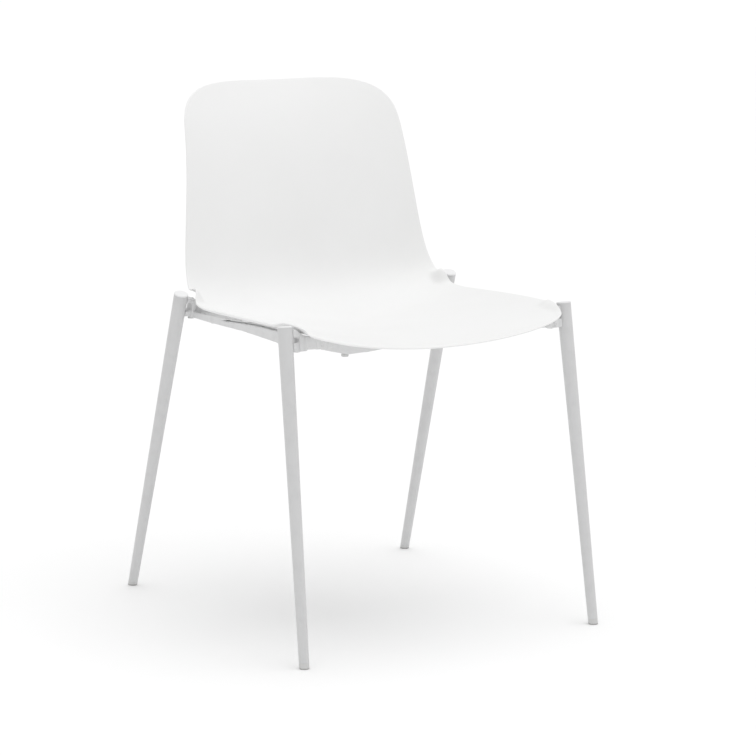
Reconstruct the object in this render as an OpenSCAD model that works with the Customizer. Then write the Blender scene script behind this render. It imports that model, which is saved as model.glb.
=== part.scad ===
// Stacking chair: a one-piece moulded shell on four splayed tube legs.
// Cast corner brackets hold the legs; two cross members and two side rails tie the brackets.
// Origin: middle of the footprint, on the floor. -Y is the front of the chair, +Z is up.
// "left" is the -X side and "right" is the +X side.

/* [Legs] */
// Sideways distance of a front foot from the middle
front_foot_x = 246; // [225:1:265]
// Distance of the front feet ahead of the middle
front_foot_y = 281.3; // [270:0.1:290]
// Distance of the rear feet behind the middle
rear_foot_y = 281; // [270:0.1:290]
// Sideways distance of a rear foot from the middle
rear_foot_x = 249; // [225:1:265]
// Height of the top of a front leg
front_top_z = 479; // [474:1:484]
// Height of the top of a rear leg
rear_top_z = 484; // [479:1:489]
// Diameter of a leg at its top
leg_top_d = 21.5; // [20:0.5:23]
// Diameter of a leg at the floor
leg_foot_d = 14.6; // [13:0.2:17]
// Wall of a leg tube
leg_wall = 1.8; // [1.5:0.1:2.2]

/* [Shell] */
// Thickness of the moulded shell
shell_t = 4.6; // [4:0.2:5]
// Thickness of the shell at its rim
rim_t = 3; // [2.6:0.2:4]
// Half width of the shell where the seat is widest
shell_half_w = 236; // [232:1:238]
// Depth of the dish across the shell, near the middle of the seat
dish_depth = 32; // [30:0.5:33]

/* [Underframe] */
// Width of the bars
bar_w = 14; // [12:1:16]
// Width of a side rail
rail_w = 11.5; // [10:0.5:12]
// Clearance between the shell and the metal below it
shell_gap = 0.6; // [0.4:0.1:1]

/* [Fixings] */
// Radius of the shank of every screw
screw_r = 2.5; // [2:0.1:2.6]
// Radius of the stacking buffers
buffer_r = 5.4; // [5:0.1:6]

/* [Hidden] */

$fn = 48;
eps = 0.01;

// ---- Legs: foot and top of each leg on the +X side, front then rear ----
FRONT = 0;
REAR = 1;
foot = [[front_foot_x, -front_foot_y, 0], [rear_foot_x, rear_foot_y, 0]];
top = [[235, -208, front_top_z], [236, 120, rear_top_z]];
foot_r = leg_foot_d / 2;
top_r = leg_top_d / 2;
cap_t = 2.2;
glide_h = 8;
plug_len = 9;
// ---- Shell: a middle line in the YZ plane, and what hangs across it ----
lip_y = -265;
lip_z = 440;
spine_len = 772;
lip_len = 120;
lip_slope = 5;
seat_slope = -2.6;
back_slope = 81.5;
bend_start = 279;
bend_len = 280;
lean_start = 558;
lean_len = 274;
lean_angle = 24;
half_widths = [shell_half_w - 13, shell_half_w + 14, shell_half_w - 7, shell_half_w - 42,
               shell_half_w - 54];
dishes = [dish_depth - 4, dish_depth, dish_depth + 12];
dish_ref = 220;
edge_slope = 16;
front_round = 185;
front_power = 6.3;
top_round = 97;
top_power = 3.05;
spine_n = 260;
// The wall is rim_t thick at the rim and thickens inwards over rim_fade
rim_fade = 60;
rim_power = 6;
// Beside each leg, the shell's edge rises and draws in: where that starts, is full, ends and is gone
rise_from_x = 198;
rise_span = [[20, 44, 74, 104], [362, 398, 398, 430]];
rise_h = [5, 13.8];
rise_in = [6.5, 3.5];
// Grid of the shell's mesh, with its columns crowded towards the sides
shell_cols = 14;
shell_rows = 46;
column_power = 0.42;
// ---- Corner brackets, in the frame of the leg's top ----
web_t = 12;
fin_in = 24.5;
fin_out = 17.5;
fin_half = 10;
bracket_low = 37;
hole_high = [-17, -14.5];
hole_low = [-24, -28];
ear_end = 31;
fin_r = 5;
hole_r = 3;
fin_rise = [-13.5, -10.5];
web_start = 7;
web_top = [[[-web_start, -4], [-14, -5.5], [-ear_end, -17.5]],
           [[-web_start, -6], [-15, -8], [-ear_end, -14.5]]];
// The bracket's tongue stands in a slot in the leg's wall
tongue_w = 7;
tongue_z = [-35, -30];
tongue_in = 1;
// ---- Cross members: a bar that curves in plan and dips at the buffers ----
corner_x = 213;
cross_mid_y = [-128, 62];
cross_corner_y = [-208, 129];
cross_power = 2.2;
cross_low = [
    [[0, 421], [60, 417.5], [100, 418.5], [136, 428], [164, 436], [190, 440], [213, 443]],
    [[0, 419], [60, 420], [100, 421.5], [136, 427], [164, 435], [190, 441], [213, 445]]];
cross_high = [
    [[0, 430], [60, 430], [100, 434], [136, 443], [150, 446.5], [164, 452], [190, 459], [213, 466]],
    [[0, 428.4], [60, 430], [100, 432.5], [136, 438], [150, 441.8], [164, 448.5], [190, 458.5], [213, 470]]];
cross_joint_x = 172;
tenon_len = 16;
tenon_w = 7;
tenon_h = 4.2;
tenon_z = [440, 437.2];
buffer_x = 102;
buffer_h = 4;
buffer_stem_r = 2.5;
buffer_stem = 7;
sink = 1.2;
shell_screw_x = 142;
boss_r = 9;
insert_r = 4;
insert_len = 5.5;
boss_drop = 1.5;
seat_drop = 6;
pad_h = 9;
// ---- Side rails ----
rail_in = 206;
rail_front = -158;
rail_rear = 68;
rail_low = 446.5;
rail_h = 17;
finger_tip = -76;
fork_root = 24;
bumper_x = 214;
bumper_r = 5.2;
bumper_stem_r = 2;
bumper_stem = 6;
bumper_h = 3;
bumper_back = [4, 12];
bumper_z = [443, 446];
// ---- Screws ----
head_r = 4.4;
head_h = 3;
head_gap = 1.6;
head_room = 0.2;
hole_gap = 0.1;
socket_r = 1.8;
rail_screw_len = 8;
far = 60;

function smooth(t) = let (c = min(max(t, 0), 1)) c * c * c * (c * (6 * c - 15) + 10);
function bezier(c, t) =
    len(c) == 1 ? c[0] : bezier([for (i = [0:len(c) - 2]) c[i] * (1 - t) + c[i + 1] * t], t);

// Heading of the middle line after a length s of shell, in degrees above level
function heading(s) =
    seat_slope + (lip_slope - seat_slope) * (1 - smooth(s / lip_len))
    + (back_slope - seat_slope) * smooth((s - bend_start) / bend_len)
    - lean_angle * smooth((s - lean_start) / lean_len);

spine_ds = spine_len / spine_n;
spine = [for (i = 0, a = 0, p = [lip_y, lip_z]; i <= spine_n;
              a = heading((i + 0.5) * spine_ds), p = p + spine_ds * [cos(a), sin(a)], i = i + 1) p];
function spine_at(s) =
    let (k = min(max(s / spine_ds, 0), spine_n - 0.001), i = floor(k), f = k - i)
    spine[i] * (1 - f) + spine[i + 1] * f;

function dish(s, x) = bezier(dishes, s / spine_len) * pow(x / dish_ref, 2);
function dish_tilt(s, x) = 2 * bezier(dishes, s / spine_len) * x / pow(dish_ref, 2);

// A point of the shell, u from -1 to 1 across it, on its sitting side (0) or its back (1)
function shell_point(s, u, side) =
    let (x = u * bezier(half_widths, s / spine_len), a = heading(s), p = spine_at(s),
         depth = side * wall(s, u), m = dish_tilt(s, x), k = depth / sqrt(1 + m * m),
         up = edge_rise(s, x), h = dish(s, x) - k + up * rise_h)
    [x + m * k - sign(x) * (up * rise_in), p[0] - sin(a) * h, p[1] + cos(a) * h];

// How far the edge has risen beside the front leg and the rear leg, each from 0 to 1
function edge_rise(s, x) =
    let (w = bezier(half_widths, s / spine_len), k = smooth((abs(x) - rise_from_x) / (w - rise_from_x)))
    [for (r = rise_span) k * (smooth((s - r[0]) / (r[1] - r[0])) - smooth((s - r[2]) / (r[3] - r[2])))];

// The wall thins towards the rim
function wall(s, u) =
    let (end = min(s - shell_s(0, u), shell_s(1, u) - s, rim_fade) / rim_fade,
         in = (1 - pow(abs(u), rim_power)) * smooth(end))
    rim_t + (shell_t - rim_t) * in;

// Where a lengthwise line of the shell starts and ends, so that the corners are round
function round_in(u, n) = 1 - pow(max(1 - pow(abs(u), n), 0), 1 / n);
function shell_s(v, u) =
    let (s0 = front_round * round_in(u, front_power),
         s1 = spine_len - top_round * round_in(u, top_power))
    s0 + (s1 - s0) * v;

// Height of the seat's underside over its level part, where the dish slopes by up to edge_slope
function seat_under(x, y) = let (s = y - lip_y) spine_at(s)[1] + dish(s, x) - shell_t / cos(edge_slope);

module seat_sheet(cols = shell_cols, rows = shell_rows) {
    us = [for (j = [-cols:cols]) sign(j) * pow(abs(sin(90 * j / cols)), column_power)];
    nu = len(us);
    nv = rows + 1;
    sheet = [for (d = [0, 1], i = [0:rows], u = us) shell_point(shell_s(i / rows, u), u, d)];
    function at(k, i, j) = k * nv * nu + i * nu + j;
    skin = [for (i = [0:rows - 1], j = [0:nu - 2])
        each [[at(0, i, j), at(0, i + 1, j + 1), at(0, i, j + 1)],
              [at(0, i, j), at(0, i + 1, j), at(0, i + 1, j + 1)],
              [at(1, i, j), at(1, i, j + 1), at(1, i + 1, j + 1)],
              [at(1, i, j), at(1, i + 1, j + 1), at(1, i + 1, j)]]];
    sides = [for (i = [0:rows - 1])
        each [[at(0, i, 0), at(1, i, 0), at(1, i + 1, 0)], [at(0, i, 0), at(1, i + 1, 0), at(0, i + 1, 0)],
              [at(0, i, nu - 1), at(1, i + 1, nu - 1), at(1, i, nu - 1)],
              [at(0, i, nu - 1), at(0, i + 1, nu - 1), at(1, i + 1, nu - 1)]]];
    ends = [for (j = [0:nu - 2])
        each [[at(0, 0, j), at(0, 0, j + 1), at(1, 0, j + 1)], [at(0, 0, j), at(1, 0, j + 1), at(1, 0, j)],
              [at(0, rows, j), at(1, rows, j + 1), at(0, rows, j + 1)],
              [at(0, rows, j), at(1, rows, j), at(1, rows, j + 1)]]];
    polyhedron(sheet, concat(skin, sides, ends));
}

// ---- Placing things ----
module on_side(side) {
    if (side > 0) children();
    else mirror([1, 0, 0]) children();
}
module both_sides() {
    for (side = [-1, 1]) on_side(side) children();
}

// The frame of a leg: origin at its top, +Z up along its axis
function leg_len(end) = norm(top[end] - foot[end]);
module at_leg(end) {
    d = (top[end] - foot[end]) / leg_len(end);
    translate(top[end]) rotate([-asin(d[1]), atan2(d[0], d[2]), 0]) children();
}

// Plan line of a cross member, and its outline seen from the front
function cross_y(end, x) =
    cross_mid_y[end] + (cross_corner_y[end] - cross_mid_y[end]) * pow(abs(x) / corner_x, cross_power);
function mirrored(line) = [for (i = [len(line) - 1:-1:1]) [-line[i][0], line[i][1]]];
function reversed(line) = [for (i = [len(line) - 1:-1:0]) line[i]];
function both(line) = concat(mirrored(line), line);

// Part of a cross bar between two sideways places
module cross_bar(end, x0, x1) {
    xs = [for (i = [0:24]) x0 + (x1 - x0) * i / 24];
    low = both(cross_low[end]);
    high = both(cross_high[end]);
    intersection() {
        translate([0, 0, 380]) linear_extrude(120)
            polygon(concat([for (x = xs) [x, cross_y(end, x) - bar_w / 2]],
                           [for (x = reversed(xs)) [x, cross_y(end, x) + bar_w / 2]]));
        translate([0, 300, 0]) rotate([90, 0, 0]) linear_extrude(600)
            polygon(concat(low, reversed(high)));
    }
}

// Tenon of a bracket in the end of a cross member, and its screw
module cross_tenon(end) {
    y = cross_y(end, cross_joint_x - tenon_len / 2);
    translate([cross_joint_x - tenon_len, y - tenon_w / 2, tenon_z[end]])
        cube([tenon_len + eps, tenon_w, tenon_h]);
}
module cross_screw_line(end) {
    x = cross_joint_x - tenon_len / 2;
    translate([x, cross_y(end, x), 0]) children();
}

// ---- Bracket ----
module rounded_outline(w, z0, z1, r) {
    translate([-w / 2, z0]) square([w, z1 - z0 - r]);
    translate([-w / 2 + r, z0]) square([w - 2 * r, z1 - z0]);
    for (k = [-1, 1]) translate([k * (w / 2 - r), z1 - r]) circle(r);
}

module web_outline(end) {
    polygon(concat(web_top[end], [[-ear_end, -bracket_low], [-web_start, -bracket_low]]));
}
module web_hole(end) {
    r = hole_r;
    high = hole_high[end];
    low = hole_low[end];
    translate([-fin_out + r, low]) square([fin_out, high - low]);
    translate([-fin_out, low + r]) square([fin_out, high - low - 2 * r]);
    for (z = [low + r, high - r]) translate([-fin_out + r, z]) circle(r);
}

module bracket_head(end) {
    difference() {
        union() {
            rotate([90, 0, 0]) linear_extrude(web_t, center = true) web_outline(end);
            translate([-fin_in, 0, 0]) rotate([90, 0, 90]) linear_extrude(fin_in - fin_out)
                rounded_outline(2 * fin_half, -bracket_low, fin_rise[end], fin_r);
        }
        rotate([90, 0, 0]) linear_extrude(far, center = true) web_hole(end);
        leg_cone(end, 0);
    }
    leg_tongue();
}

// Everything above the underside of the seat's level part, near a rail
module seat_space() {
    x = rail_in + rail_w / 2;
    y = -60;
    translate([x, y, seat_under(x, y) - shell_gap])
        rotate([seat_slope, -atan(dish_tilt(y - lip_y, x)), 0])
        translate([-100, -250, 0]) cube([200, 500, 100]);
}

// The rail's stub on a bracket, from the bracket's fin to where the rail starts
function rail_span(end) = end == FRONT ? [-212, rail_front] : [rail_rear, 126];
module rail_stub(end) {
    span = rail_span(end);
    difference() {
        translate([rail_in, span[0], rail_low - 1]) cube([rail_w, span[1] - span[0], rail_h + 1]);
        seat_space();
    }
}
module rail_tenon(end) {
    y = end == FRONT ? rail_front : rail_rear - tenon_len;
    translate([rail_in + 2.5, y - eps, rail_low + 2.5]) cube([rail_w - 5, tenon_len + 2 * eps, 6]);
}
module rail_screw_line(end) {
    y = end == FRONT ? rail_front + tenon_len / 2 : rail_rear - tenon_len / 2;
    translate([rail_in + rail_w / 2, y, rail_low]) children();
}

module bracket(end, side) {
    color("gainsboro") on_side(side) difference() {
        union() {
            at_leg(end) bracket_head(end);
            cross_bar(end, cross_joint_x, corner_x);
            cross_tenon(end);
            rail_stub(end);
            rail_tenon(end);
        }
        at_leg(end) difference() {
            leg_cone(end, 0);
            leg_tongue();
        }
        cross_screw_line(end) cylinder(r = screw_r, h = tenon_z[end] + tenon_h + 1);
        rail_screw_line(end) cylinder(r = screw_r, h = rail_screw_len + 0.5);
        bumper_place(end) cylinder(r = bumper_stem_r, h = bumper_stem);
        bumper_place(end) translate([0, 0, sink - far]) cylinder(r = bumper_r, h = far);
    }
}

// ---- Leg parts, in the frame of the leg ----
module leg_cone(end, grow) {
    z0 = -leg_len(end);
    translate([0, 0, z0]) cylinder(r1 = foot_r + grow, r2 = top_r + grow, h = -z0);
}
module leg_tongue() {
    start = foot_r - leg_wall + tongue_in;
    translate([-web_start - tongue_w, -tongue_w / 2, tongue_z[0]])
        cube([web_start + tongue_w - start, tongue_w, tongue_z[1] - tongue_z[0]]);
}
module leg_tube(end, side) {
    glide_z = -leg_len(end) + glide_h;
    color("whitesmoke") on_side(side) at_leg(end) difference() {
        intersection() {
            leg_cone(end, 0);
            translate([-30, -30, glide_z]) cube([60, 60, -glide_z - cap_t]);
        }
        leg_cone(end, -leg_wall);
        leg_tongue();
    }
}
module leg_cap(end, side) {
    color("white") on_side(side) at_leg(end) {
        intersection() {
            leg_cone(end, 0);
            translate([-30, -30, -cap_t]) cube([60, 60, cap_t]);
        }
    }
}
module glide(end, side) {
    len = leg_len(end);
    color("lightgray") on_side(side) difference() {
        at_leg(end) {
            intersection() {
                translate([0, 0, -4]) leg_cone(end, 0.02);
                translate([-30, -30, -len - 5]) cube([60, 60, glide_h + 5]);
            }
            intersection() {
                leg_cone(end, -leg_wall);
                translate([-30, -30, -len + glide_h - eps]) cube([60, 60, plug_len]);
            }
        }
        translate([0, 0, -20]) cube([700, 700, 40], center = true);
    }
}
// A screw's head with a hexagonal socket in its lower face
module socket_head(r) {
    difference() {
        cylinder(r = r, h = head_h);
        translate([0, 0, -1]) cylinder(r = socket_r, h = head_h / 2 + 1, $fn = 6);
    }
}

// ---- Cross members and what they carry ----
function under_bar(end, x) = lookup(x, cross_low[end]);
function over_bar(end, x) = lookup(x, cross_high[end]);
module shell_screw_line(end) {
    translate([shell_screw_x, cross_y(end, shell_screw_x), over_bar(end, shell_screw_x)]) children();
}
module cross_member(end) {
    color("gainsboro") difference() {
        union() {
            cross_bar(end, -cross_joint_x, cross_joint_x);
            both_sides() shell_screw_line(end)
                translate([0, 0, -boss_drop - pad_h]) cylinder(r = boss_r, h = pad_h);
        }
        both_sides() {
            cross_tenon(end);
            cross_screw_line(end) cylinder(r = screw_r + hole_gap, h = tenon_z[end] + tenon_h);
            cross_screw_line(end) cylinder(r = head_r + head_room, h = tenon_z[end] - head_gap);
            shell_screw_line(end) translate([0, 0, -far]) cylinder(r = screw_r + hole_gap, h = 2 * far);
            shell_screw_line(end) translate([0, 0, -far])
                cylinder(r = head_r + head_room, h = far - seat_drop);
            shell_screw_line(end) translate([0, 0, -boss_drop]) cylinder(r = boss_r + 1, h = far);
            buffer_place(end) cylinder(r = buffer_stem_r, h = buffer_stem);
            buffer_place(end) translate([0, 0, sink - far]) cylinder(r = buffer_r, h = far);
        }
    }
}
module buffer_place(end) {
    y = cross_y(end, buffer_x);
    translate([buffer_x, y, under_bar(end, buffer_x)]) children();
}
module buffer(end, side) {
    color("silver") on_side(side) buffer_place(end) {
        translate([0, 0, -buffer_h]) cylinder(r = buffer_r, h = buffer_h + sink);
        cylinder(r = buffer_stem_r, h = buffer_stem);
    }
}
module bumper_place(end) {
    translate([bumper_x, top[end][1] + bumper_back[end], bumper_z[end]]) children();
}

// ---- Nodes ----
module seat_shell() {
    color("white") difference() {
        union() {
            seat_sheet();
            for (end = [FRONT, REAR]) both_sides() shell_boss(end);
        }
        for (end = [FRONT, REAR]) both_sides() shell_screw_line(end)
            translate([0, 0, -boss_drop - 1]) cylinder(r = insert_r, h = insert_len + boss_drop + 1);
    }
}
module shell_boss(end) {
    shell_screw_line(end) translate([0, 0, -boss_drop]) cylinder(r = boss_r, h = boss_top(end));
}
function boss_top(end) =
    seat_under(shell_screw_x, cross_y(end, shell_screw_x)) - over_bar(end, shell_screw_x) + shell_t;
module shell_inserts() {
    color("goldenrod") for (end = [FRONT, REAR]) both_sides() shell_screw_line(end) difference() {
        translate([0, 0, -boss_drop]) cylinder(r = insert_r, h = insert_len + boss_drop);
        translate([0, 0, -boss_drop - 1]) cylinder(r = screw_r, h = insert_len + boss_drop + 2);
    }
}
module shell_screws() {
    color("silver") for (end = [FRONT, REAR]) both_sides() shell_screw_line(end) {
        translate([0, 0, -seat_drop]) cylinder(r = screw_r, h = seat_drop + insert_len - 1);
        translate([0, 0, -seat_drop - head_h]) socket_head(head_r);
    }
}
module side_rail(side) {
    color("gainsboro") on_side(side) difference() {
        translate([rail_in, 0, 0]) rotate([90, 0, 90]) linear_extrude(rail_w) rail_outline();
        seat_space();
        for (end = [FRONT, REAR]) {
            rail_tenon(end);
            rail_screw_line(end) translate([0, 0, -far])
                cylinder(r = screw_r + hole_gap, h = far + tenon_h);
            rail_screw_line(end) translate([0, 0, sink - far]) cylinder(r = head_r, h = far);
        }
    }
}
// Seen from the side: a bar, and above it a finger that follows the seat's edge and fades out
module rail_outline() {
    middle = (rail_front + rail_rear) / 2;
    high = rail_low + rail_h;
    difference() {
        polygon([[rail_rear, rail_low - 1], [middle, rail_low + 1], [rail_front, rail_low - 1],
                 [rail_front, high - 1], [-97, high - 2], [finger_tip, high - 2.6],
                 [finger_tip, high + 2], [rail_rear, high + 2]]);
        polygon([[finger_tip - 1, high - 2.6], [-43, high - 4.5], [0, high - 7.5],
                 [fork_root, high - 10], [fork_root, high - 8.6], [0, high - 5.4],
                 [-43, high - 2.2], [finger_tip - 1, high - 0.2]]);
    }
}
module cross_member_screws() {
    color("silver") for (end = [FRONT, REAR]) both_sides() cross_screw_line(end) {
        translate([0, 0, tenon_z[end] - head_gap]) cylinder(r = screw_r, h = tenon_h + head_gap);
        translate([0, 0, tenon_z[end] - head_gap - head_h]) socket_head(head_r);
    }
}
module rail_screws() {
    color("silver") for (end = [FRONT, REAR]) both_sides() rail_screw_line(end) {
        cylinder(r = screw_r, h = rail_screw_len);
        translate([0, 0, sink - head_h]) socket_head(head_r);
    }
}
module bracket_bumpers() {
    color("silver") for (end = [FRONT, REAR]) both_sides() bumper_place(end) {
        translate([0, 0, -bumper_h]) cylinder(r = bumper_r, h = bumper_h + sink);
        cylinder(r = bumper_stem_r, h = bumper_stem);
    }
}

seat_shell();
shell_inserts();
shell_screws();
cross_member(FRONT);  // front_cross_member
cross_member(REAR);  // rear_cross_member
side_rail(-1);  // left_side_rail
side_rail(1);  // right_side_rail
bracket(FRONT, -1);  // front_left_bracket
bracket(FRONT, 1);  // front_right_bracket
bracket(REAR, -1);  // rear_left_bracket
bracket(REAR, 1);  // rear_right_bracket
leg_tube(FRONT, -1);  // front_left_leg
leg_tube(FRONT, 1);  // front_right_leg
leg_tube(REAR, -1);  // rear_left_leg
leg_tube(REAR, 1);  // rear_right_leg
leg_cap(FRONT, -1);  // front_left_leg_cap
leg_cap(FRONT, 1);  // front_right_leg_cap
leg_cap(REAR, -1);  // rear_left_leg_cap
leg_cap(REAR, 1);  // rear_right_leg_cap
glide(FRONT, -1);  // front_left_glide
glide(FRONT, 1);  // front_right_glide
glide(REAR, -1);  // rear_left_glide
glide(REAR, 1);  // rear_right_glide
buffer(FRONT, -1);  // front_left_buffer
buffer(FRONT, 1);  // front_right_buffer
buffer(REAR, -1);  // rear_left_buffer
buffer(REAR, 1);  // rear_right_buffer
cross_member_screws();
rail_screws();
bracket_bumpers();
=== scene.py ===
"""Stacking chair: the visual model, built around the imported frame.

A one-piece moulded shell stands on four tapered tube legs, tied by a cast underframe.
Every length is in metres, in the frame's own axes: +Z is up, -Y is the front, +X the right.
"""
import logging
import math
from bisect import bisect_right
from dataclasses import dataclass, field
from enum import Enum
from typing import Callable, Optional, Sequence, Union

import bmesh
import bpy
from mathutils import Euler, Matrix, Vector


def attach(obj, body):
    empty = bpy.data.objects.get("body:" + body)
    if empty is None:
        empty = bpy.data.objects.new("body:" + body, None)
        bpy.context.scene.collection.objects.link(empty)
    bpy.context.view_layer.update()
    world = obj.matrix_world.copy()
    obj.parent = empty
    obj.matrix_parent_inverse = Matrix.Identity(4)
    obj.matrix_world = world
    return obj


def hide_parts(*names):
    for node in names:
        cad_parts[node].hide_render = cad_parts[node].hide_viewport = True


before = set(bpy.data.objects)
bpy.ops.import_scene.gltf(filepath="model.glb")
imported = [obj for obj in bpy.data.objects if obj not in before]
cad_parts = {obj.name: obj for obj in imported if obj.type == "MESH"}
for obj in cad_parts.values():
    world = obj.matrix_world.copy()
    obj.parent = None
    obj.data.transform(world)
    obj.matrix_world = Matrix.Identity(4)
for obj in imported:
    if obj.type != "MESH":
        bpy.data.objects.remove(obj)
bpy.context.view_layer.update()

LOG = logging.getLogger("chair")
BODY = "root"
QUARTER = math.pi / 2
NEAR = 1e-5


class End(Enum):
    """The two ends of the chair, in the order of every pair of sizes."""

    FRONT = 0
    REAR = 1


class Side(Enum):
    """The two sides of the chair, as the sign of X."""

    LEFT = -1
    RIGHT = 1


Number = Union[float, "Wire"]


# ---------------------------------------------------------------- materials


class Wire:
    """A node's output, with arithmetic that adds Math nodes."""

    def __init__(self, shop: "Finish", socket: bpy.types.NodeSocket) -> None:
        """Keeps the socket and the finish whose node tree it is in."""
        self.shop = shop
        self.socket = socket

    def _maths(self, operation: str, *values: Number) -> "Wire":
        """A Math node on values."""
        return self.shop.node("ShaderNodeMath", {"operation": operation}, dict(enumerate(values)))

    def __add__(self, other: Number) -> "Wire":
        """self + other."""
        return self._maths("ADD", self, other)

    def __radd__(self, other: Number) -> "Wire":
        """other + self."""
        return self._maths("ADD", other, self)

    def __rsub__(self, other: Number) -> "Wire":
        """other - self."""
        return self._maths("SUBTRACT", other, self)

    def __mul__(self, other: Number) -> "Wire":
        """self * other."""
        return self._maths("MULTIPLY", self, other)

    def __rmul__(self, other: Number) -> "Wire":
        """other * self."""
        return self._maths("MULTIPLY", other, self)

    def ramp(self, low: float, high: float) -> "Wire":
        """0 below low, 1 above high, and smooth between them.

        Args:
            low: the value where the ramp starts.
            high: the value where it ends.

        Returns:
            The ramped value.
        """
        settings = {"interpolation_type": "SMOOTHSTEP"}
        values = {"Value": self, "From Min": low, "From Max": high}
        return self.shop.node("ShaderNodeMapRange", settings, values)


class Finish:
    """A material's node tree, filled by the subclasses."""

    name = "finish"
    COLOUR_A, COLOUR_B, COLOUR_OUT = 6, 7, 2

    def __init__(self) -> None:
        """Makes the material, its shader and its output, and lets the subclass dress it."""
        self.material = bpy.data.materials.new(self.name)
        self.material.use_nodes = True
        self.tree = self.material.node_tree
        self.tree.nodes.clear()
        self.shader = self.tree.nodes.new("ShaderNodeBsdfPrincipled")
        output = self.tree.nodes.new("ShaderNodeOutputMaterial")
        self.tree.links.new(self.shader.outputs["BSDF"], output.inputs["Surface"])
        self.place = self.node("ShaderNodeTexCoord", {}, {}, "Object")
        self.dress()

    def dress(self) -> None:
        """Adds the finish's own nodes."""
        raise NotImplementedError

    def node(self, kind: str, settings: dict, inputs: dict, out: Union[int, str] = 0) -> Wire:
        """Adds one node.

        Args:
            kind: the node's type.
            settings: its properties, set first.
            inputs: a value or a Wire for each socket, by name or number.
            out: the output that is returned.

        Returns:
            The node's output.
        """
        made = self.tree.nodes.new(kind)
        for key, value in settings.items():
            setattr(made, key, value)
        for key, value in inputs.items():
            self.feed(made.inputs[key], value)
        return Wire(self, made.outputs[out])

    def feed(self, socket: bpy.types.NodeSocket, value: object) -> None:
        """Links a Wire to a socket, or sets a plain value on it."""
        if isinstance(value, Wire):
            self.tree.links.new(value.socket, socket)
        else:
            socket.default_value = value

    def set(self, **inputs: object) -> None:
        """Feeds the shader's sockets, with _ for a space in their names."""
        for key, value in inputs.items():
            self.feed(self.shader.inputs[key.replace("_", " ")], value)

    def noise(self, scale: float, detail: float = 2.0, rough: float = 0.5,
              stretch: Sequence[float] = (1, 1, 1)) -> Wire:
        """Noise from 0 to 1 on the object's own coordinates.

        Args:
            scale: features a metre.
            detail: octaves.
            rough: how strong the finer octaves are.
            stretch: the scale along each axis.

        Returns:
            The noise's value.
        """
        where = self.place
        if tuple(stretch) != (1, 1, 1):
            where = self.node("ShaderNodeMapping", {}, {"Vector": where, "Scale": stretch})
        values = {"Vector": where, "Scale": scale, "Detail": detail, "Roughness": rough}
        return self.node("ShaderNodeTexNoise", {}, values)

    def specks(self, scale: float) -> Wire:
        """Distance to the nearest of random points, in cells of 1/scale metres."""
        return self.node("ShaderNodeTexVoronoi", {}, {"Vector": self.place, "Scale": scale}, "Distance")

    def axis(self, letter: str) -> Wire:
        """One of the object's coordinates, in metres."""
        return self.node("ShaderNodeSeparateXYZ", {}, {"Vector": self.place}, letter)

    def blend(self, first: Union[Sequence[float], Wire], second: Sequence[float],
              mask: Wire) -> Wire:
        """A colour between two colours.

        Args:
            first: red, green and blue, or a colour's Wire, where mask is 0.
            second: red, green and blue where mask is 1.
            mask: how much of the second.

        Returns:
            The colour.
        """
        start = first if isinstance(first, Wire) else (*first, 1)
        values = {"Factor": mask, self.COLOUR_A: start, self.COLOUR_B: (*second, 1)}
        return self.node("ShaderNodeMix", {"data_type": "RGBA"}, values, self.COLOUR_OUT)

    def bump(self, *layers: tuple[Wire, float]) -> None:
        """Stacks bump layers on the shader's normal, each a height and its depth in metres."""
        normal = None
        for height, depth in layers:
            values = {"Height": height, "Distance": depth, "Strength": 1.0}
            if normal:
                values["Normal"] = normal
            normal = self.node("ShaderNodeBump", {}, values)
        self.set(Normal=normal)


class MouldedShell(Finish):
    """Satin polypropylene with the fine grain of a spark-eroded mould."""

    name = "moulded_polypropylene"
    cool = (0.855, 0.856, 0.852)
    warm = (0.870, 0.871, 0.869)
    gloss = 0.40
    waves_per_metre = 9
    wave_depth = 0.0010
    grain_per_metre = 1500
    grain_depth = 0.00005
    pits_per_metre = 900
    pit_depth = 0.00003

    def dress(self) -> None:
        """A near-white body, a fine grain, and slow waves from the mould's cooling."""
        flow = self.noise(7, 3)
        grain = self.noise(self.grain_per_metre, 3, 0.6)
        self.set(Base_Color=self.blend(self.cool, self.warm, flow.ramp(0.3, 0.7)),
                 Roughness=self.gloss + 0.1 * self.noise(40, 4) + 0.05 * grain,
                 IOR=1.49)
        self.bump((self.noise(self.waves_per_metre, 1), self.wave_depth),
                  (grain, self.grain_depth),
                  (self.specks(self.pits_per_metre), self.pit_depth))


class PowderCoat(Finish):
    """White polyester powder coat, with its orange peel."""

    name = "powder_coat"
    # This white, which the tubes wear, is set darker than the castings' and caps' copies of the same
    # coat: painted shade on the legs.
    white = (0.625, 0.626, 0.628)
    shade = (0.60, 0.601, 0.604)
    gloss = 0.30
    peel_per_metre = 420
    peel = 0.00006
    dust_per_metre = 1900
    dust = 0.000012

    def tint(self) -> Wire:
        """The coat's colour, which pools a little."""
        return self.blend(self.shade, self.white, self.noise(60, 2).ramp(0.25, 0.6))

    def dress(self) -> None:
        """An even white with a rippled skin."""
        skin = self.noise(self.peel_per_metre, 2, 0.45)
        fine = self.noise(self.dust_per_metre, 2)
        self.set(Base_Color=self.tint(), Roughness=self.gloss + 0.12 * skin + 0.06 * fine, IOR=1.5)
        self.bump((skin, self.peel), (fine, self.dust))


class CastCoatPaintedLight(PowderCoat):
    """The same coat over the slightly rougher skin of a casting, set lighter than on the tubes as
    painted light.
    """

    name = "powder_coat_on_casting"
    # Painted light: this copy of the coat is lighter than the tubes' white.
    white = (0.70, 0.701, 0.703)
    shade = (0.66, 0.661, 0.664)
    peel = 0.00011


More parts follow.
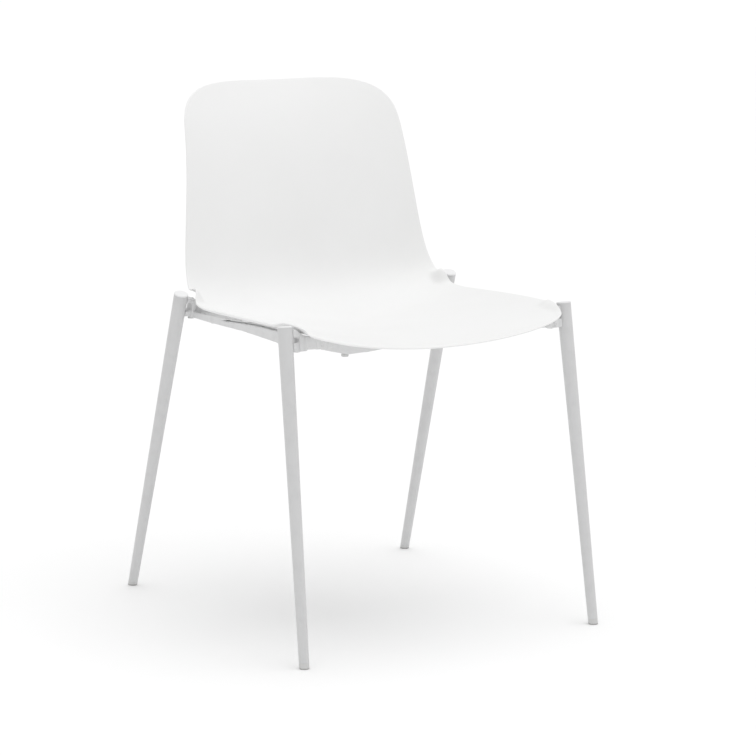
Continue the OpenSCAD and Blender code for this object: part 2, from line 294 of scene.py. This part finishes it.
class TubeCoatPaintedShade(PowderCoat):
    """The same coat on a drawn tube, set darker than on the castings and caps as painted shade, and
    rubbed near the floor.
    """

    name = "powder_coat_on_tube"
    rubbed = (0.42, 0.42, 0.41)
    rub_from = 0.012
    rub_to = 0.12
    rub_share = 0.35

    def dress(self) -> None:
        """Adds faint rub marks to the lowest part of a leg."""
        super().dress()
        low = 1 - self.axis("Z").ramp(self.rub_from, self.rub_to)
        marks = self.noise(260, 4, 0.65, (1, 1, 0.35)).ramp(0.62, 0.72) * low
        self.set(Base_Color=self.blend(self.tint(), self.rubbed, marks * self.rub_share))


class CapCoatPaintedLight(PowderCoat):
    """The same coat on a pressed cap, set lighter as painted light because the cap faces the light."""

    name = "powder_coat_on_cap"
    # Painted light: the cap's copy of the coat is much lighter than the tubes' white.
    white = (0.84, 0.842, 0.844)
    shade = (0.80, 0.802, 0.804)


class Nylon(Finish):
    """Light grey nylon, scuffed on the sole."""

    name = "glide_nylon"
    clean = (0.60, 0.60, 0.595)
    dirty = (0.30, 0.295, 0.285)
    sole_from = 0.0004
    sole_to = 0.003
    grain_depth = 0.00004
    scuff_depth = 0.0001

    def dress(self) -> None:
        """A matte body that darkens and roughens where it slides."""
        sole = 1 - self.axis("Z").ramp(self.sole_from, self.sole_to)
        scuff = self.noise(700, 4, 0.7)
        worn = sole * (0.45 + 0.55 * scuff)
        self.set(Base_Color=self.blend(self.clean, self.dirty, worn),
                 Roughness=0.46 + 0.3 * worn, IOR=1.53)
        self.bump((self.noise(1300, 2), self.grain_depth), (scuff * sole, self.scuff_depth))


class SoftPad(Finish):
    """Pale soft plastic, with a fine grain and an uneven, dusty tone."""

    name = "pad_elastomer"
    dusty = (0.56, 0.56, 0.555)
    clean = (0.66, 0.66, 0.655)
    grain_depth = 0.00005

    def dress(self) -> None:
        """A matte body with a slightly dusty, uneven tone."""
        dust = self.noise(300, 4, 0.6)
        self.set(Base_Color=self.blend(self.dusty, self.clean, dust.ramp(0.35, 0.65)),
                 Roughness=0.62 + 0.15 * dust, IOR=1.5)
        self.bump((self.noise(1600, 3, 0.6), self.grain_depth))


class Zinc(Finish):
    """Zinc-plated steel."""

    name = "zinc_plate"
    dull = (0.60, 0.61, 0.62)
    bright = (0.74, 0.75, 0.755)
    mark_depth = 0.00001

    def dress(self) -> None:
        """A bright metal with a crystalline bloom and fine handling marks."""
        marks = self.noise(1200, 4, 0.7, (1, 1, 0.2))
        self.set(Base_Color=self.blend(self.dull, self.bright, self.specks(500).ramp(0.1, 0.7)),
                 Metallic=1.0, Roughness=0.26 + 0.2 * marks)
        self.bump((marks, self.mark_depth))


class Brass(Finish):
    """Machined brass, a little dull."""

    name = "machined_brass"
    fresh = (0.80, 0.62, 0.33)
    aged = (0.58, 0.42, 0.20)
    mark_depth = 0.00001

    def dress(self) -> None:
        """A warm metal with a patchy tarnish."""
        tarnish = self.noise(350, 4, 0.6).ramp(0.35, 0.7)
        self.set(Base_Color=self.blend(self.fresh, self.aged, tarnish),
                 Metallic=1.0, Roughness=0.28 + 0.25 * tarnish)
        self.bump((self.noise(1500, 2), self.mark_depth))


class FloorPaint(Finish):
    """Matte white floor."""

    name = "studio_floor"
    white = (0.95, 0.95, 0.95, 1)

    def dress(self) -> None:
        """An even white with a barely uneven roughness."""
        self.set(Base_Color=self.white, Roughness=0.8 + 0.1 * self.noise(3))


# ---------------------------------------------------------------- the bench


class Bench:
    """Modelling moves on one object at a time."""

    @staticmethod
    def take(*objects: bpy.types.Object) -> None:
        """Selects these objects alone, and makes the first one active."""
        bpy.ops.object.select_all(action="DESELECT")
        for obj in objects:
            obj.select_set(True)
        bpy.context.view_layer.objects.active = objects[0]

    @staticmethod
    def grabbed(name: str, at: Matrix = Matrix.Identity(4)) -> bpy.types.Object:
        """The primitive just added, named, with its place in its mesh and then moved by at."""
        obj = bpy.context.object
        obj.name = obj.data.name = name
        Bench.take(obj)
        bpy.ops.object.transform_apply(location=True, rotation=True, scale=True)
        obj.data.transform(at)
        return obj

    @staticmethod
    def modify(obj: bpy.types.Object, kind: str, **settings: object) -> None:
        """Adds a modifier with these settings, and applies it."""
        made = obj.modifiers.new(kind.lower(), kind)
        for key, value in settings.items():
            setattr(made, key, value)
        Bench.take(obj)
        bpy.ops.object.modifier_apply(modifier=made.name)

    @staticmethod
    def pick(obj: bpy.types.Object, kind: str, test: Callable) -> None:
        """Enters edit mode with only the elements of a kind that pass a test selected.

        Args:
            obj: the mesh object.
            kind: VERT, EDGE or FACE.
            test: takes an element and says whether it is selected.
        """
        Bench.take(obj)
        bpy.ops.object.mode_set(mode="EDIT")
        bpy.ops.mesh.select_mode(type=kind)
        bpy.ops.mesh.select_all(action="DESELECT")
        net = bmesh.from_edit_mesh(obj.data)
        parts = {"VERT": net.verts, "EDGE": net.edges, "FACE": net.faces}[kind]
        for part in [p for p in parts if test(p)]:
            part.select_set(True)
        net.select_flush_mode()
        bmesh.update_edit_mesh(obj.data)

    @staticmethod
    def done() -> None:
        """Leaves edit mode."""
        bpy.ops.object.mode_set(mode="OBJECT")

    @staticmethod
    def tidy(obj: bpy.types.Object, angle: float = 35) -> None:
        """Merges doubles, points the faces outwards and shades smooth up to an angle in degrees."""
        Bench.pick(obj, "VERT", lambda vert: True)
        bpy.ops.mesh.remove_doubles(threshold=2e-6)
        bpy.ops.mesh.normals_make_consistent(inside=False)
        Bench.done()
        Bench.take(obj)
        bpy.ops.object.shade_smooth_by_angle(angle=math.radians(angle))

    @staticmethod
    def cut(obj: bpy.types.Object, tool: bpy.types.Object, operation: str = "DIFFERENCE") -> None:
        """Cuts a tool out of obj, or joins it in, and throws the tool away."""
        Bench.modify(obj, "BOOLEAN", object=tool, operation=operation, solver="EXACT")
        bpy.data.objects.remove(tool)

    @staticmethod
    def copy(obj: bpy.types.Object, name: str, at: Matrix = Matrix.Identity(4)) -> bpy.types.Object:
        """A copy with its own mesh, moved by at, and turned right side out if at mirrors it."""
        twin = obj.copy()
        twin.data = obj.data.copy()
        twin.name = twin.data.name = name
        bpy.context.scene.collection.objects.link(twin)
        twin.data.transform(at)
        if at.determinant() < 0:
            twin.data.flip_normals()
        return twin

    @staticmethod
    def round_edges(obj: bpy.types.Object, width: float, segments: int, test: Callable) -> None:
        """Bevels the edges that pass a test."""
        Bench.pick(obj, "EDGE", test)
        bpy.ops.mesh.bevel(offset=width, segments=segments, profile=0.5, affect="EDGES")
        Bench.done()

    @staticmethod
    def cylinder(name: str, radius: float, low: float, high: float,
                 at: Matrix = Matrix.Identity(4), sides: int = 64,
                 top: Optional[float] = None) -> bpy.types.Object:
        """A cylinder or cone along Z.

        Args:
            name: the object's name.
            radius: its radius at low.
            low: where it starts along Z.
            high: where it ends.
            at: the matrix that places it.
            sides: how many faces go round it.
            top: its radius at high, if that differs.

        Returns:
            The object, with its place in its mesh.
        """
        bpy.ops.object.select_all(action="DESELECT")
        bpy.ops.mesh.primitive_cone_add(
            vertices=sides, radius1=radius, radius2=radius if top is None else top,
            depth=high - low, location=(0, 0, (low + high) / 2))
        return Bench.grabbed(name, at)

    @staticmethod
    def block(name: str, low: Sequence[float], high: Sequence[float],
              at: Matrix = Matrix.Identity(4)) -> bpy.types.Object:
        """A box between two corners, moved by at."""
        bpy.ops.object.select_all(action="DESELECT")
        bpy.ops.mesh.primitive_cube_add(size=1, location=[(a + b) / 2 for a, b in zip(low, high)],
                                        scale=[b - a for a, b in zip(low, high)])
        return Bench.grabbed(name, at)


def show(piece: bpy.types.Object, node: str, finish: Finish) -> None:
    """Dresses a piece, sets it on the frame in place of a node, and logs it."""
    piece.data.materials.clear()
    piece.data.materials.append(finish.material)
    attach(piece, BODY)
    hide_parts(node)
    LOG.info("%s stands for %s, %d faces", piece.name, node, len(piece.data.polygons))


MIRROR = Matrix.Diagonal((-1, 1, 1, 1))


# ---------------------------------------------------------------- the shell


def ease(t: float) -> float:
    """0 below 0, 1 above 1, and smooth to the second order between them."""
    c = min(max(t, 0.0), 1.0)
    return c * c * c * (c * (6 * c - 15) + 10)


def bezier(values: Sequence[float], t: float) -> float:
    """A Bezier curve's value at t, from its control values."""
    while len(values) > 1:
        values = [a + (b - a) * t for a, b in zip(values, values[1:])]
    return values[0]


@dataclass(frozen=True)
class Rise:
    """A stretch of the shell's edge that rises and draws in to pass inside a leg's head."""

    span: tuple[float, float, float, float]
    height: float
    inset: float

    def share(self, s: float) -> float:
        """How much of the rise is reached at s, from 0 to 1."""
        start, full, end, gone = self.span
        return ease((s - start) / (full - start)) - ease((s - end) / (gone - end))


@dataclass
class ShellForm:
    """The shell's surface: a middle line in the YZ plane, and a dish that hangs across it."""

    lip: tuple[float, float] = (-0.265, 0.440)
    length: float = 0.772
    lip_length: float = 0.120
    lip_slope: float = 5.0
    seat_slope: float = -2.6
    back_slope: float = 81.5
    bend: tuple[float, float] = (0.279, 0.280)
    lean: tuple[float, float] = (0.558, 0.274)
    lean_angle: float = 24.0
    half_widths: tuple[float, ...] = (0.223, 0.250, 0.229, 0.194, 0.182)
    dishes: tuple[float, ...] = (0.028, 0.032, 0.044)
    dish_ref: float = 0.220
    wall_mid: float = 0.0046
    wall_rim: float = 0.0030
    fade: float = 0.060
    rounds: tuple[float, float] = (0.185, 0.097)
    powers: tuple[float, float] = (6.3, 3.05)
    rise_from: float = 0.198
    rises: tuple[Rise, ...] = (Rise((0.020, 0.044, 0.074, 0.104), 0.005, 0.0065),
                               Rise((0.362, 0.398, 0.398, 0.430), 0.0138, 0.0035))
    steps: int = 520
    spine: list[tuple[float, float]] = field(default_factory=list)

    def __post_init__(self) -> None:
        """Walks along the middle line once."""
        step = self.length / self.steps
        y, z = self.lip
        for i in range(self.steps + 1):
            self.spine.append((y, z))
            turn = self.heading((i + 0.5) * step)
            y, z = y + step * math.cos(turn), z + step * math.sin(turn)

    def heading(self, s: float) -> float:
        """The middle line's slope, in radians, after a length s of shell."""
        degrees = (self.seat_slope
                   + (self.lip_slope - self.seat_slope) * (1 - ease(s / self.lip_length))
                   + (self.back_slope - self.seat_slope) * ease((s - self.bend[0]) / self.bend[1])
                   - self.lean_angle * ease((s - self.lean[0]) / self.lean[1]))
        return math.radians(degrees)

    def middle(self, s: float) -> tuple[float, float]:
        """The middle line's Y and Z after a length s."""
        place = min(max(s / self.length * self.steps, 0.0), self.steps - 1e-6)
        i = int(place)
        (y0, z0), (y1, z1) = self.spine[i], self.spine[i + 1]
        return y0 + (y1 - y0) * (place - i), z0 + (z1 - z0) * (place - i)

    def half_width(self, s: float) -> float:
        """Half the shell's width at s."""
        return bezier(self.half_widths, s / self.length)

    def wall(self, s: float, x: float) -> float:
        """The shell's thickness, which falls towards the rim."""
        u = min(abs(x) / self.half_width(s), 1.0)
        ends = [r * (1 - max(1 - u ** p, 0.0) ** (1 / p)) for r, p in zip(self.rounds, self.powers)]
        reach = min(s - ends[0], self.length - ends[1] - s, self.fade) / self.fade
        return self.wall_rim + (self.wall_mid - self.wall_rim) * (1 - u ** 6) * ease(reach)

    def point(self, s: float, x: float, depth: float) -> Vector:
        """A point of the shell.

        Args:
            s: how far along the shell, from the front edge.
            x: how far across it.
            depth: how far below its sitting side.

        Returns:
            The point in the frame.
        """
        dish = bezier(self.dishes, s / self.length)
        tilt = 2 * dish * x / self.dish_ref ** 2
        inset = depth / math.sqrt(1 + tilt * tilt)
        edge = ease((abs(x) - self.rise_from) / (self.half_width(s) - self.rise_from))
        lift = sum(edge * r.share(s) * r.height for r in self.rises)
        draw = sum(edge * r.share(s) * r.inset for r in self.rises)
        rise = dish * (x / self.dish_ref) ** 2 - inset + lift
        y, z = self.middle(s)
        turn = self.heading(s)
        across = x + tilt * inset - math.copysign(draw, x)
        return Vector((across, y - math.sin(turn) * rise, z + math.cos(turn) * rise))

    def corner(self, end: End, turn: float) -> tuple[float, float]:
        """A point of the outline at one end, as x and s.

        Args:
            end: the front or the top edge.
            turn: 0 at the edge's middle and 1 where the straight side starts, either sign.

        Returns:
            How far across and how far along the point is.
        """
        r, p = self.rounds[end.value], self.powers[end.value]
        u = abs(math.sin(QUARTER * turn)) ** (2 / p)
        s = r * (1 - max(math.cos(QUARTER * turn), 0.0) ** (2 / p))
        s = s if end is End.FRONT else self.length - s
        return math.copysign(u * self.half_width(s), turn), s

    def quarter(self, end: End, start: float, stop: float, count: int = 240) -> list:
        """Closely set outline points between two turns at one end."""
        return [self.corner(end, start + (stop - start) * i / count) for i in range(count + 1)]


def spread(line: Sequence[tuple[float, float]], count: int) -> list[Vector]:
    """Points evenly spaced along a polyline.

    Args:
        line: the polyline's corners.
        count: how many steps the result has.

    Returns:
        count + 1 points.
    """
    corners = [Vector(p) for p in line]
    marks = [0.0]
    for a, b in zip(corners, corners[1:]):
        marks.append(marks[-1] + (b - a).length)
    found = []
    for i in range(count + 1):
        goal = marks[-1] * i / count
        k = min(max(bisect_right(marks, goal) - 1, 0), len(corners) - 2)
        share = (goal - marks[k]) / max(marks[k + 1] - marks[k], 1e-12)
        found.append(corners[k].lerp(corners[k + 1], min(share, 1.0)))
    return found


@dataclass
class SeatShell:
    """The moulded shell with its rounded rim, and the bosses that its inserts stand in."""

    form: ShellForm
    across: int = 120
    along: int = 180
    rim_rings: int = 8
    boss_radius: float = 0.009
    boss_rounding: float = 0.0006
    boss_overlap: float = 0.002
    bore_start: float = 0.001
    smooth_angle: float = 40

    def outline(self) -> tuple[list[Vector], list[Vector]]:
        """The rim's line, just inside the outline, and the way outwards at each point.

        Returns:
            Points as (x, s), in order from the front left corner, and their outward directions.
        """
        shape, corner = self.form, 0.5
        front = shape.quarter(End.FRONT, -corner, 0) + shape.quarter(End.FRONT, 0, corner)[1:]
        side = shape.quarter(End.FRONT, corner, 1)
        straight = [shape.rounds[0], shape.length - shape.rounds[1]]
        side += [(shape.half_width(s), s) for s in
                 [straight[0] + (straight[1] - straight[0]) * i / 240 for i in range(1, 240)]]
        side += shape.quarter(End.REAR, 1, corner)
        top = shape.quarter(End.REAR, corner, 0) + shape.quarter(End.REAR, 0, -corner)[1:]
        left = [(-x, s) for x, s in reversed(side)]
        line: list[Vector] = []
        for part, count in ((front, self.across), (side, self.along), (top, self.across),
                            (left, self.along)):
            line += spread(part, count)[:-1]
        outward = []
        for i, here in enumerate(line):
            run = line[(i + 1) % len(line)] - line[i - 1]
            outward.append(Vector((run.y, -run.x)).normalized())
        radius = shape.wall_rim / 2
        return [p - n * radius for p, n in zip(line, outward)], outward

    def ring_index(self, i: int, j: int) -> int:
        """Where a border vertex of the grid is in the outline, or -1 inside it."""
        if j == 0:
            return i
        if i == self.across:
            return self.across + j
        if j == self.along:
            return 2 * self.across + self.along - i
        if i == 0:
            return 2 * self.across + 2 * self.along - j
        return -1

    def inner(self, line: Sequence[Vector], i: int, j: int) -> Vector:
        """A grid vertex as (x, s), blended from the four sides of the rim's line."""
        n, m = self.across, self.along
        a, b = i / n, j / m

        def at(p: int, q: int) -> Vector:
            return line[self.ring_index(p, q) % len(line)]

        edges = at(i, 0) * (1 - b) + at(i, m) * b + at(0, j) * (1 - a) + at(n, j) * a
        corners = (at(0, 0) * (1 - a) + at(n, 0) * a) * (1 - b) + (at(0, m) * (1 - a) + at(n, m) * a) * b
        return edges - corners

    def sheet(self) -> bpy.types.Object:
        """The shell without its bosses."""
        bpy.ops.object.select_all(action="DESELECT")
        bpy.ops.mesh.primitive_grid_add(x_subdivisions=self.across, y_subdivisions=self.along, size=2)
        shell = Bench.grabbed("moulded_shell")
        Bench.pick(shell, "FACE", lambda face: True)
        bpy.ops.mesh.extrude_region_move(TRANSFORM_OT_translate={"value": (0, 0, -1)})
        Bench.done()
        Bench.pick(shell, "EDGE", lambda edge: abs(edge.verts[0].co.z - edge.verts[1].co.z) > 0.5)
        bpy.ops.mesh.subdivide(number_cuts=self.rim_rings - 1)
        Bench.done()
        line, outward = self.outline()
        radius = self.form.wall_rim / 2
        for vertex in shell.data.vertices:
            x, y, z = vertex.co
            i, j = round((x + 1) / 2 * self.across), round((y + 1) / 2 * self.along)
            ring = self.ring_index(i, j)
            if ring < 0:
                spot = self.inner(line, i, j)
                depth = 0.0 if z > -0.5 else self.form.wall(spot.y, spot.x)
            else:
                turn = QUARTER + math.pi * z
                ring %= len(line)
                spot = line[ring] + outward[ring] * (radius * math.cos(turn))
                depth = radius * (1 - math.sin(turn))
            vertex.co = self.form.point(spot.y, spot.x, depth)
        return shell

    def build(self, finish: Finish) -> None:
        """Makes the shell, its bosses round the CAD's inserts, and sets it on the frame."""
        shell = self.sheet()
        Bench.tidy(shell, self.smooth_angle)
        for low, high in loose_boxes("shell_inserts"):
            place = Matrix.Translation(((low.x + high.x) / 2, (low.y + high.y) / 2, 0))
            boss = Bench.cylinder("boss", self.boss_radius, low.z, high.z + self.boss_overlap, place)
            Bench.round_edges(boss, self.boss_rounding, 2, lambda edge: edge.calc_face_angle(0) > 1)
            Bench.cut(shell, boss, "UNION")
            bore = Bench.cylinder("bore", (high.x - low.x) / 2, low.z - self.bore_start, high.z, place)
            Bench.cut(shell, bore)
        Bench.tidy(shell, self.smooth_angle)
        show(shell, "seat_shell", finish)


# ---------------------------------------------------------------- the metal and the small parts


def node_copy(node: str, name: str) -> bpy.types.Object:
    """A merged copy of a CAD node's mesh."""
    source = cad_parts[node]
    made = bpy.data.objects.new(name, source.data.copy())
    bpy.context.scene.collection.objects.link(made)
    Bench.pick(made, "VERT", lambda vert: True)
    bpy.ops.mesh.remove_doubles(threshold=NEAR)
    bpy.ops.mesh.normals_make_consistent(inside=False)
    Bench.done()
    return made


def loose_boxes(node: str) -> list[tuple[Vector, Vector]]:
    """The lowest and highest corner of each loose part of a CAD node."""
    piece = node_copy(node, "measured")
    Bench.take(piece)
    bpy.ops.mesh.separate(type="LOOSE")
    parts = list(bpy.context.selected_objects)
    boxes = []
    for part in parts:
        spots = [v.co for v in part.data.vertices]
        boxes.append((Vector(map(min, zip(*spots))), Vector(map(max, zip(*spots)))))
        bpy.data.objects.remove(part)
    return boxes


@dataclass
class Casting:
    """A cast part of the underframe: the CAD's form with rounded edges and filleted corners."""

    node: str
    voxel: float
    rounding: int

    def build(self, finish: Finish) -> None:
        """Refines the CAD's form and sets it on the frame."""
        piece = node_copy(self.node, "cast_" + self.node)
        Bench.modify(piece, "REMESH", mode="VOXEL", voxel_size=self.voxel, use_smooth_shade=True)
        Bench.modify(piece, "SMOOTH", factor=0.5, iterations=self.rounding)
        show(piece, self.node, finish)


@dataclass
class Turned:
    """Small turned or moulded parts: the CAD's form with its sharp edges rounded."""

    node: str
    slot: str
    radius: float
    segments: int = 3
    sharp: float = 0.6
    flat: float = 0.01
    smooth_angle: float = 32

    def build(self, finish: Finish) -> None:
        """Refines the CAD's form and sets it on the frame."""
        piece = node_copy(self.node, "turned_" + self.node)
        Bench.pick(piece, "FACE", lambda face: True)
        bpy.ops.mesh.dissolve_limited(angle_limit=self.flat)
        Bench.done()
        Bench.round_edges(piece, self.radius, self.segments,
                          lambda edge: edge.calc_face_angle(0) > self.sharp)
        Bench.tidy(piece, self.smooth_angle)
        show(piece, self.node, finish)


@dataclass
class Underframe:
    """The castings under the shell, each with the fineness and the rounding of its edges."""

    bar: tuple[float, int] = (0.0009, 12)
    bracket: tuple[float, int] = (0.0008, 9)
    rail: tuple[float, int] = (0.0007, 6)

    def build(self, cast: Finish) -> None:
        """Makes the cross members, the corner brackets and the side rails."""
        for end in End:
            Casting(f"{end.name.lower()}_cross_member", *self.bar).build(cast)
            for side in Side:
                node = f"{end.name.lower()}_{side.name.lower()}_bracket"
                Casting(node, *self.bracket).build(cast)
        for side in Side:
            Casting(f"{side.name.lower()}_side_rail", *self.rail).build(cast)


@dataclass
class Fixings:
    """The screws, the inserts, the bumpers and the stacking buffers."""

    screws: tuple[str, ...] = ("shell_screws", "cross_member_screws", "rail_screws")
    screw_rounding: float = 0.0003
    bumper_rounding: float = 0.0008
    buffer_rounding: float = 0.0018

    def build(self, pad: Finish, zinc: Finish, brass: Finish) -> None:
        """Makes the small parts, and dresses the inserts that are carried over."""
        for end in End:
            for side in Side:
                node = f"{end.name.lower()}_{side.name.lower()}_buffer"
                Turned(node, "buffer_plastic", self.buffer_rounding, 5).build(pad)
        for node in self.screws:
            Turned(node, "screw_steel", self.screw_rounding).build(zinc)
        Turned("bracket_bumpers", "buffer_plastic", self.bumper_rounding, 4).build(pad)
        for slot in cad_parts["shell_inserts"].material_slots:
            slot.material = brass.material
        LOG.info("shell_inserts are carried over, in brass")


@dataclass
class Leg:
    """A tapered tube leg with its cap and its glide, in a frame at its top with +Z along it."""

    end: End
    foot: Vector
    top: Vector
    foot_radius: float = 0.0073
    top_radius: float = 0.01075
    cap: float = 0.0022
    glide: float = 0.008
    seam: float = 0.00035
    cap_rounding: float = 0.00121
    sole_rounding: float = 0.0009
    sole_spare: float = 0.004
    sides: int = 96
    steps: int = 4
    smooth_angle: float = 32

    @property
    def length(self) -> float:
        """The distance from the foot to the top."""
        return (self.top - self.foot).length

    @property
    def place(self) -> Matrix:
        """The leg's frame on the right side of the chair."""
        way = (self.top - self.foot).normalized()
        turn = Matrix.Rotation(math.atan2(way.x, way.z), 4, "Y")
        lean = Matrix.Rotation(-math.asin(way.y), 4, "X")
        return Matrix.Translation(self.top) @ turn @ lean

    def radius(self, z: float) -> float:
        """The leg's radius at a height in its own frame."""
        return self.top_radius + (self.top_radius - self.foot_radius) * z / self.length

    def section(self, name: str, low: float, high: float) -> bpy.types.Object:
        """A solid stretch of the leg's cone."""
        return Bench.cylinder(name, self.radius(low), low, high, sides=self.sides,
                              top=self.radius(high))

    def ends(self, piece: bpy.types.Object, low: float, high: float) -> None:
        """Rounds the lower and the upper edge of a section.

        Args:
            piece: the section, in the leg's frame.
            low: the radius of the lower edge's rounding.
            high: the radius of the upper edge's rounding.
        """
        heights = [v.co.z for v in piece.data.vertices]
        for height, size in ((min(heights), low), (max(heights), high)):
            Bench.round_edges(piece, size, self.steps,
                              lambda edge: all(abs(v.co.z - height) < NEAR for v in edge.verts))

    def build(self, tube: Finish, cap: Finish, nylon: Finish) -> None:
        """Makes the tube, the cap and the glide for both sides of the chair."""
        name = self.end.name.lower()
        bottom = -self.length
        pipe = self.section("tube", bottom + self.glide, -self.cap)
        self.ends(pipe, self.seam, self.seam)
        lid = self.section("cap", -self.cap, 0)
        self.ends(lid, self.seam, self.cap_rounding)
        for piece in (pipe, lid):
            piece.data.transform(self.place)
        sole = self.section("glide", bottom - self.sole_spare, bottom + self.glide)
        self.ends(sole, self.seam, self.seam)
        sole.data.transform(self.place)
        Bench.cut(sole, Bench.block("below", (-1, -1, -0.1), (1, 1, 0)))
        Bench.round_edges(sole, self.sole_rounding, self.steps,
                          lambda edge: all(v.co.z < NEAR for v in edge.verts))
        for piece, kind, slot, finish in ((pipe, "leg", "tube_paint", tube),
                                          (lid, "leg_cap", "cap_paint", cap),
                                          (sole, "glide", "glide_plastic", nylon)):
            Bench.tidy(piece, self.smooth_angle)
            left = Bench.copy(piece, f"{name}_left_{kind}_form", MIRROR)
            piece.name = piece.data.name = f"{name}_right_{kind}_form"
            show(left, f"{name}_left_{kind}", finish)
            show(piece, f"{name}_right_{kind}", finish)


# ---------------------------------------------------------------- the studio


@dataclass
class Studio:
    """A plain pale floor, soft light and the camera."""

    eye: tuple[float, float, float] = (-2.1281, -3.7548, 1.1189)
    target: tuple[float, float, float] = (0.0214, -0.0259, 0.3551)
    lens: float = 137.6
    sensor: float = 36
    floor_size: float = 160
    sky: float = 0.78
    lamp_place: tuple[float, float, float] = (0.5, -0.3, 3.6)
    lamp_aim: tuple[float, float, float] = (0, 0, 0.4)
    lamp_strength: float = 1.0
    lamp_spread: float = 60

    def build(self) -> None:
        """Makes the floor, the lights, the world and the camera."""
        scene = bpy.context.scene
        scene.view_settings.view_transform = "Standard"
        bpy.ops.object.select_all(action="DESELECT")
        bpy.ops.mesh.primitive_plane_add(size=self.floor_size)
        floor = Bench.grabbed("studio_floor")
        floor.data.materials.append(FloorPaint().material)
        scene.world = bpy.data.worlds.new("studio")
        scene.world.use_nodes = True
        sky = scene.world.node_tree.nodes["Background"].inputs
        sky["Color"].default_value = (1, 1, 1, 1)
        sky["Strength"].default_value = self.sky
        self.lamp()
        self.camera()

    @staticmethod
    def turned(place: Sequence[float], aim: Sequence[float]) -> Euler:
        """The rotation of a lamp or a camera at place that looks at aim."""
        return (Vector(aim) - Vector(place)).to_track_quat("-Z", "Y").to_euler()

    def lamp(self) -> None:
        """Adds a wide, soft light from above that aims at the chair."""
        bpy.ops.object.light_add(type="SUN", location=self.lamp_place)
        lamp = bpy.context.object
        lamp.name = lamp.data.name = "overhead"
        lamp.data.angle = math.radians(self.lamp_spread)
        lamp.data.energy = self.lamp_strength
        lamp.rotation_euler = self.turned(self.lamp_place, self.lamp_aim)

    def camera(self) -> None:
        """Adds the camera."""
        bpy.ops.object.camera_add(location=self.eye)
        camera = bpy.context.object
        camera.rotation_euler = self.turned(self.eye, self.target)
        camera.data.lens = self.lens
        camera.data.sensor_width = self.sensor
        bpy.context.scene.camera = camera


def main() -> None:
    """Builds the chair's pieces, the floor, the light and the camera."""
    logging.basicConfig(level=logging.INFO, format="%(name)s: %(message)s")
    SeatShell(ShellForm()).build(MouldedShell())
    Underframe().build(CastCoatPaintedLight())
    tube, cap, nylon = TubeCoatPaintedShade(), CapCoatPaintedLight(), Nylon()
    for leg in (Leg(End.FRONT, Vector((0.246, -0.2813, 0)), Vector((0.235, -0.208, 0.479))),
                Leg(End.REAR, Vector((0.249, 0.281, 0)), Vector((0.236, 0.120, 0.484)))):
        leg.build(tube, cap, nylon)
    Fixings().build(SoftPad(), Zinc(), Brass())
    Studio().build()


if __name__ == "__main__":
    main()
